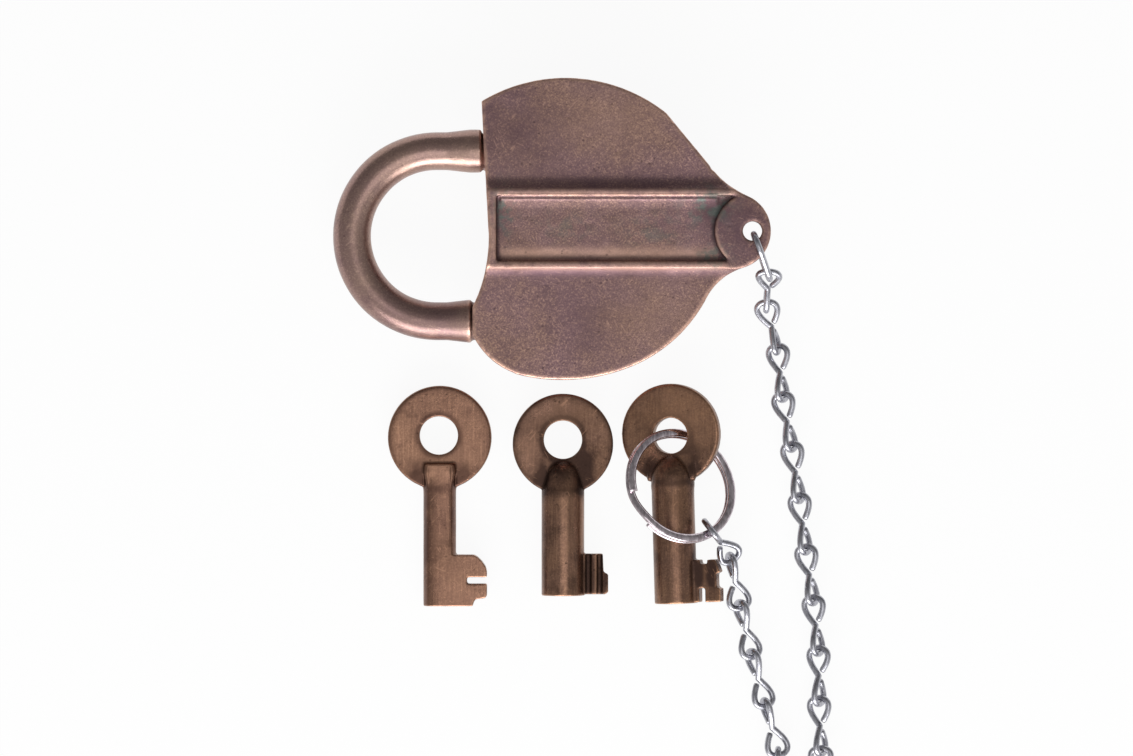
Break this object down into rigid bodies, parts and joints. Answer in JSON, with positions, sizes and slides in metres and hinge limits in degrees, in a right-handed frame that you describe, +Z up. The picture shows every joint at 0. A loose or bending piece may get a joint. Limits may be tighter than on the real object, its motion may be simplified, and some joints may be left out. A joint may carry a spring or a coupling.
{
  "type": "railroad switch lock with chained key",
  "caption": "Heart-shaped brass switch lock with a swinging shackle, a jack chain and split ring that hold a barrel key, and loose switch keys beside it.",
  "frame": {"origin": "on the key post axis, at the plane that the lock lies on", "axes": "+Z up out of the band face, +X from the shackle to the chain ear, +Y towards the shackle toe side"},
  "size_m": [0.1205, 0.1769, 0.0238],
  "materials": {
    "case_brass": "aged cast brass, satin",
    "shackle_brass": "worn brass, satin",
    "key_1_brass": "worn brass",
    "key_2_brass": "worn brass",
    "key_3_brass": "dark brass",
    "lever_brass": "bare brass",
    "inner_steel": "bare steel",
    "zinc_wire": "bright zinc plating",
    "nickel_ring": "polished nickel"
  },
  "bodies": {
    "lock": {"case_front": "case_brass", "case_back": "case_brass", "case_rivets": "case_brass", "key_post": "inner_steel", "shackle_pin": "inner_steel", "shackle_spring": "inner_steel", "lever_pin": "inner_steel", "drop_pin": "inner_steel"},
    "shackle": {"shackle": "shackle_brass"},
    "drop": {"drop": "case_brass"},
    "lever_1": {"lever_1": "lever_brass", "lever_spring_1": "inner_steel"},
    "lever_2": {"lever_2": "lever_brass", "lever_spring_2": "inner_steel"},
    "lever_3": {"lever_3": "lever_brass", "lever_spring_3": "inner_steel"},
    "link_01": {"chain_link_01": "zinc_wire"},
    "link_02": {"chain_link_02": "zinc_wire"},
    "link_03": {"chain_link_03": "zinc_wire"},
    "link_04": {"chain_link_04": "zinc_wire"},
    "link_05": {"chain_link_05": "zinc_wire"},
    "link_06": {"chain_link_06": "zinc_wire"},
    "link_07": {"chain_link_07": "zinc_wire"},
    "link_08": {"chain_link_08": "zinc_wire"},
    "link_09": {"chain_link_09": "zinc_wire"},
    "link_10": {"chain_link_10": "zinc_wire"},
    "link_11": {"chain_link_11": "zinc_wire"},
    "link_12": {"chain_link_12": "zinc_wire"},
    "link_13": {"chain_link_13": "zinc_wire"},
    "link_14": {"chain_link_14": "zinc_wire"},
    "link_15": {"chain_link_15": "zinc_wire"},
    "link_16": {"chain_link_16": "zinc_wire"},
    "link_17": {"chain_link_17": "zinc_wire"},
    "link_18": {"chain_link_18": "zinc_wire"},
    "link_19": {"chain_link_19": "zinc_wire"},
    "ring": {"split_ring": "nickel_ring"},
    "key_3": {"key_3": "key_3_brass"},
    "key_1": {"key_1": "key_1_brass"},
    "key_2": {"key_2": "key_2_brass"}
  },
  "joints": [
    {"name": "shackle_swing", "type": "hinge", "parent": "lock", "child": "shackle", "pos_m": [-0.0196, -0.0214, 0.0105], "axis": [0, 0, 1], "range_deg": [0, 85]},
    {"name": "lever_1_lift", "type": "hinge", "parent": "lock", "child": "lever_1", "pos_m": [0.0156, 0.0161, 0.0105], "axis": [0, 0, 1], "range_deg": [0, 6], "stiffness_Nm_per_rad": 0.002, "springref_deg": 5.96},
    {"name": "lever_2_lift", "type": "hinge", "parent": "lock", "child": "lever_2", "pos_m": [0.0156, 0.0161, 0.0105], "axis": [0, 0, 1], "range_deg": [0, 6], "stiffness_Nm_per_rad": 0.002, "springref_deg": 5.96},
    {"name": "lever_3_lift", "type": "hinge", "parent": "lock", "child": "lever_3", "pos_m": [0.0156, 0.0161, 0.0105], "axis": [0, 0, 1], "range_deg": [0, 6], "stiffness_Nm_per_rad": 0.002, "springref_deg": 5.96},
    {"name": "drop_hinge", "type": "hinge", "parent": "lock", "child": "drop", "pos_m": [-0.0104, 0, 0.0011], "axis": [0, 1, 0], "range_deg": [0, 100]},
    {"name": "link_01_swing", "type": "hinge", "parent": "lock", "child": "link_01", "pos_m": [0.04028, -0.00396, 0.0197], "axis": [0.9387, 0.3448, 0], "range_deg": [-12, 20]},
    {"name": "link_02_swing", "type": "hinge", "parent": "link_01", "child": "link_02", "pos_m": [0.04284, -0.00956, 0.01575], "axis": [-0.9987, 0.0505, 0], "range_deg": [-30, 30]},
    {"name": "link_03_swing", "type": "hinge", "parent": "link_02", "child": "link_03", "pos_m": [0.04217, -0.01673, 0.00683], "axis": [0.9683, 0.2498, 0], "range_deg": [-30, 30]},
    {"name": "link_04_swing", "type": "hinge", "parent": "link_03", "child": "link_04", "pos_m": [0.04512, -0.02723, 0.0035], "axis": [-0.9942, -0.1076, 0], "range_deg": [-30, 30]},
    {"name": "link_05_swing", "type": "hinge", "parent": "link_04", "child": "link_05", "pos_m": [0.04626, -0.03881, 0.0033], "axis": [0.984, 0.1782, 0], "range_deg": [-30, 30]},
    {"name": "link_06_swing", "type": "hinge", "parent": "link_05", "child": "link_06", "pos_m": [0.04849, -0.05081, 0.0033], "axis": [-0.9898, -0.1428, 0], "range_deg": [-30, 30]},
    {"name": "link_07_swing", "type": "hinge", "parent": "link_06", "child": "link_07", "pos_m": [0.0503, -0.06321, 0.0033], "axis": [0.9916, 0.129, 0], "range_deg": [-30, 30]},
    {"name": "link_08_swing", "type": "hinge", "parent": "link_07", "child": "link_08", "pos_m": [0.05188, -0.07561, 0.0033], "axis": [-0.9896, -0.1437, 0], "range_deg": [-30, 30]},
    {"name": "link_09_swing", "type": "hinge", "parent": "link_08", "child": "link_09", "pos_m": [0.05372, -0.0878, 0.0033], "axis": [0.995, 0.1004, 0], "range_deg": [-30, 30]},
    {"name": "link_10_swing", "type": "hinge", "parent": "link_09", "child": "link_10", "pos_m": [0.05509, -0.1, 0.0033], "axis": [-0.9999, -0.0102, 0], "range_deg": [-30, 30]},
    {"name": "link_11_swing", "type": "hinge", "parent": "link_10", "child": "link_11", "pos_m": [0.05517, -0.1121, 0.0033], "axis": [0.9991, 0.0432, 0], "range_deg": [-30, 30]},
    {"name": "link_12_swing", "type": "hinge", "parent": "link_11", "child": "link_12", "pos_m": [0.05564, -0.1242, 0.0033], "axis": [-0.9999, -0.0122, 0], "range_deg": [-30, 30]},
    {"name": "link_13_swing", "type": "hinge", "parent": "link_12", "child": "link_13", "pos_m": [0.0574, -0.13719, 0.0033], "axis": [-0.0458, -0.999, 0], "range_deg": [-15, 15]},
    {"name": "link_14_swing", "type": "hinge", "parent": "link_13", "child": "link_14", "pos_m": [0.04453, -0.1382, 0.0033], "axis": [0.9981, -0.0612, 0], "range_deg": [-15, 15]},
    {"name": "link_15_swing", "type": "hinge", "parent": "link_14", "child": "link_15", "pos_m": [0.04582, -0.12597, 0.0033], "axis": [-0.9612, -0.276, 0], "range_deg": [-30, 30]},
    {"name": "link_16_swing", "type": "hinge", "parent": "link_15", "child": "link_16", "pos_m": [0.04241, -0.11417, 0.0033], "axis": [0.9656, 0.26, 0], "range_deg": [-30, 30]},
    {"name": "link_17_swing", "type": "hinge", "parent": "link_16", "child": "link_17", "pos_m": [0.03918, -0.10238, 0.0033], "axis": [-0.9738, -0.2274, 0], "range_deg": [-30, 30]},
    {"name": "link_18_swing", "type": "hinge", "parent": "link_17", "child": "link_18", "pos_m": [0.03634, -0.09059, 0.0033], "axis": [0.9804, 0.1972, 0], "range_deg": [-30, 30]},
    {"name": "link_19_swing", "type": "hinge", "parent": "link_18", "child": "link_19", "pos_m": [0.03468, -0.07884, 0.00386], "axis": [-0.7955, -0.6059, 0], "range_deg": [-30, 30]},
    {"name": "ring_swing", "type": "hinge", "parent": "link_19", "child": "ring", "pos_m": [0.02941, -0.07191, 0.00914], "axis": [0.7026, 0.4734, -0.5312], "range_deg": [-8, 8]},
    {"name": "key_3_swing", "type": "hinge", "parent": "ring", "child": "key_3", "pos_m": [0.01989, -0.04841, 0.00497], "axis": [-0.8944, 0, 0.4472], "range_deg": [-25, 0]},
    {"name": "key_1_lift", "type": "slide", "parent": "lock", "child": "key_1", "axis": [0, 0, 1], "range_m": [0, 0.06]},
    {"name": "key_2_lift", "type": "slide", "parent": "lock", "child": "key_2", "axis": [0, 0, 1], "range_m": [0, 0.06]}
  ]
}
